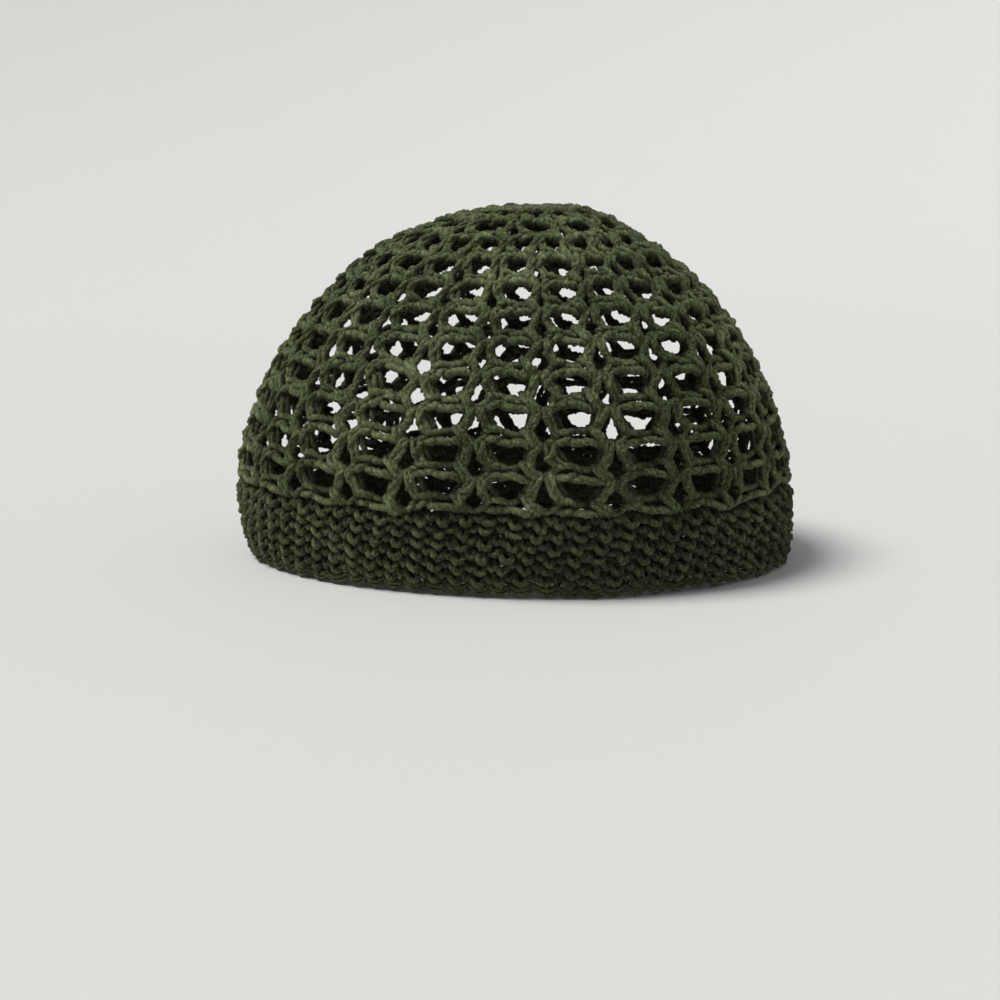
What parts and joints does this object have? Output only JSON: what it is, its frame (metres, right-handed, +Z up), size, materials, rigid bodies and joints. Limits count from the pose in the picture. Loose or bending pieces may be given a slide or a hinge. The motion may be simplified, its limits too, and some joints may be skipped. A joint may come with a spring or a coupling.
{
  "type": "crochet beanie",
  "caption": "Openwork crochet beanie with a domed V-stitch crown, a closed band and a looped chain edge, resting on its rim.",
  "frame": {"origin": "the middle of the hat's outline, front to back and side to side, on the plane that the rim rests on", "axes": "+Z up to the top of the crown, front of the hat towards -Y, the wearer's left towards +X, millimetres of the source become metres"},
  "size_m": [0.16, 0.2036, 0.1275],
  "materials": {
    "edge_yarn": "matte plied cotton yarn, dark olive",
    "band_yarn": "matte plied cotton yarn, dark olive",
    "crown_yarn": "matte plied cotton yarn, dark olive"
  },
  "bodies": {
    "root": {"rim_edge": "edge_yarn", "band": "band_yarn", "crown": "crown_yarn"}
  },
  "joints": []
}
